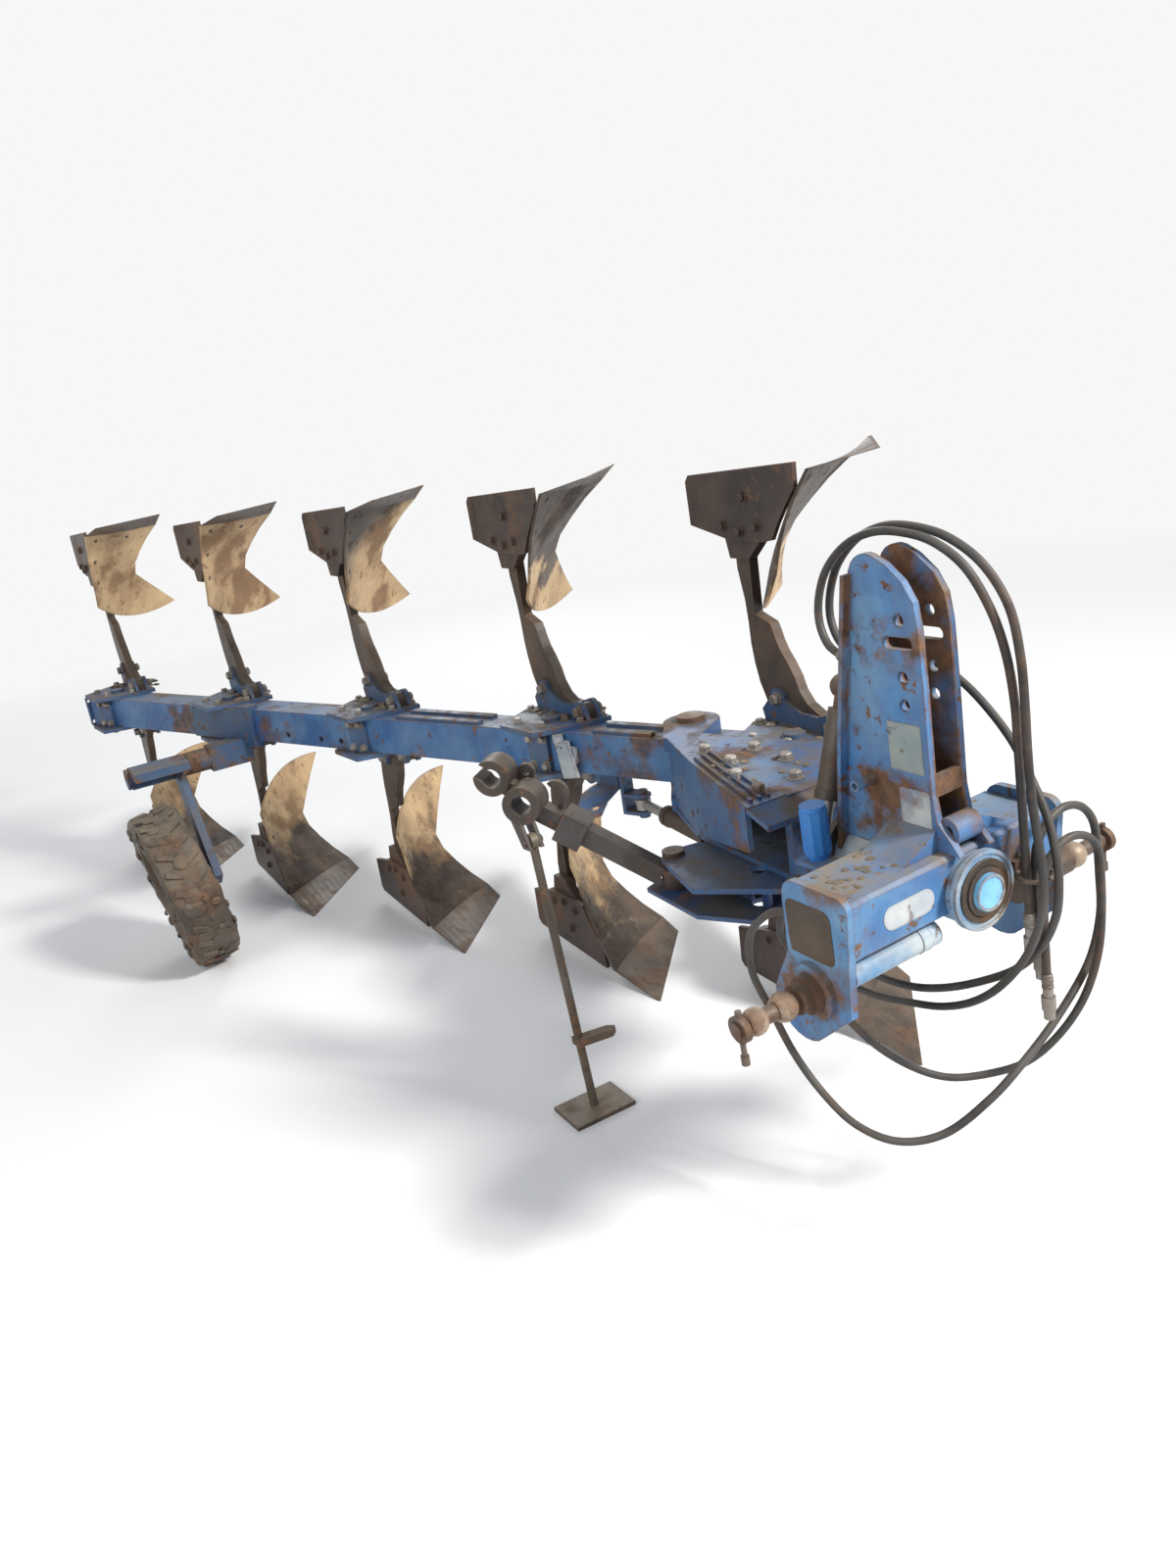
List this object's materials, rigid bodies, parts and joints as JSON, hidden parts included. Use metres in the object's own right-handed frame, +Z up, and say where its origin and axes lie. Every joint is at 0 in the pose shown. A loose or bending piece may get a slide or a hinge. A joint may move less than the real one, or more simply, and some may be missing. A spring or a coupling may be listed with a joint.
{
  "type": "reversible mounted plough",
  "caption": "Used mounted reversible mouldboard plough with a slanting beam, double bodies, depth wheel, headstock with tower, press catch arm and parking stand.",
  "frame": {"origin": "middle of the footprint on the ground", "axes": "+Z up, -Y forward to the tractor, +X to the driver's left; the turnover axis runs along Y"},
  "size_m": [1.9772, 4.9706, 1.68],
  "materials": {
    "blue_paint": "faded, chipped and rusting",
    "pale_paint": "worn almost white",
    "bright_paint": "satin",
    "rusty_steel": "rusty and dusty",
    "worn_steel": "worn",
    "soil_steel": "covered with dry soil",
    "tyre": "caked with mud",
    "hose_rubber": "dusty"
  },
  "bodies": {
    "headstock": {"headstock_box": "blue_paint", "front_tube": "pale_paint", "turnover_housing": "pale_paint", "tower": "blue_paint", "tower_lug": "rusty_steel", "hose_stub": "blue_paint", "canister_bracket": "rusty_steel", "canister": "bright_paint", "link_pins": "worn_steel", "link_balls": "rusty_steel", "linch_pins": "rusty_steel", "turnover_barrel": "worn_steel", "hose_glands": "worn_steel", "hose_ring": "rusty_steel", "hose_couplers": "worn_steel", "hose_outer": "hose_rubber", "hose_inner": "hose_rubber", "hose_tower": "hose_rubber", "hose_feed": "hose_rubber", "hose_twin": "hose_rubber"},
    "turnover_cylinder_rod": {"turnover_rod": "worn_steel"},
    "turner": {"turnover_axle": "worn_steel", "axle_cap": "bright_paint", "turning_head": "blue_paint", "swing_pin_piece": "rusty_steel", "console": "blue_paint", "catch_pivot": "rusty_steel", "swing_cyl_pin": "rusty_steel"},
    "swing_cylinder": {"swing_barrel": "worn_steel"},
    "swing_cylinder_rod": {"swing_rod": "worn_steel"},
    "frame": {"main_beam": "blue_paint", "beam_end_plate": "blue_paint", "top_bars": "rusty_steel", "near_link": "pale_paint", "slot_plate": "blue_paint", "swing_lug": "blue_paint", "body_brackets": "blue_paint", "upper_legs": "rusty_steel", "lower_legs": "rusty_steel", "upper_landsides": "rusty_steel", "lower_landsides": "rusty_steel", "upper_boards": "soil_steel", "lower_boards": "soil_steel", "upper_shares": "soil_steel", "lower_shares": "soil_steel", "wheel_bracket": "blue_paint"},
    "wheel_arm": {"wheel_arm": "blue_paint"},
    "wheel": {"rim": "soil_steel", "tyre": "tyre"},
    "catch_arm": {"catch_arm": "rusty_steel", "catch_jaws": "rusty_steel"},
    "stand": {"stand": "rusty_steel"}
  },
  "joints": [
    {"name": "turnover", "type": "hinge", "parent": "headstock", "child": "turner", "pos_m": [0.2061, -1.969, 0.84], "axis": [0, -1, 0], "range_deg": [0, 180]},
    {"name": "turnover_rod", "type": "slide", "parent": "headstock", "child": "turnover_cylinder_rod", "axis": [0.2959, 0, 0.9552], "range_m": [0, 0.105]},
    {"name": "frame_swing", "type": "hinge", "parent": "turner", "child": "frame", "pos_m": [0.40251, -1.1355, 0.84], "axis": [0, 0, 1], "range_deg": [-5, 5]},
    {"name": "swing_cylinder", "type": "hinge", "parent": "turner", "child": "swing_cylinder", "pos_m": [0.2511, -1.419, 0.684], "axis": [0, 0, 1], "range_deg": [-1.8, 1.8]},
    {"name": "swing_rod", "type": "slide", "parent": "swing_cylinder", "child": "swing_cylinder_rod", "axis": [-0.1053, -0.9944, 0], "range_m": [-0.011, 0.011]},
    {"name": "wheel_swing", "type": "hinge", "parent": "frame", "child": "wheel_arm", "pos_m": [0.2061, 0.921, 0.735], "axis": [-1, 0, 0], "range_deg": [0, 110]},
    {"name": "wheel_spin", "type": "hinge", "parent": "wheel_arm", "child": "wheel", "pos_m": [-0.8519, 0.661, 0.32921], "axis": [0.9877, 0, 0.1564], "continuous": true},
    {"name": "catch_swing", "type": "hinge", "parent": "turner", "child": "catch_arm", "pos_m": [0.0561, -1.489, 0.655], "axis": [0, 0, 1], "range_deg": [-5, 35]},
    {"name": "stand_fold", "type": "hinge", "parent": "catch_arm", "child": "stand", "pos_m": [-0.2379, -1.269, 0.807], "axis": [0.9996, 0, 0.0272], "range_deg": [0, 90]}
  ]
}
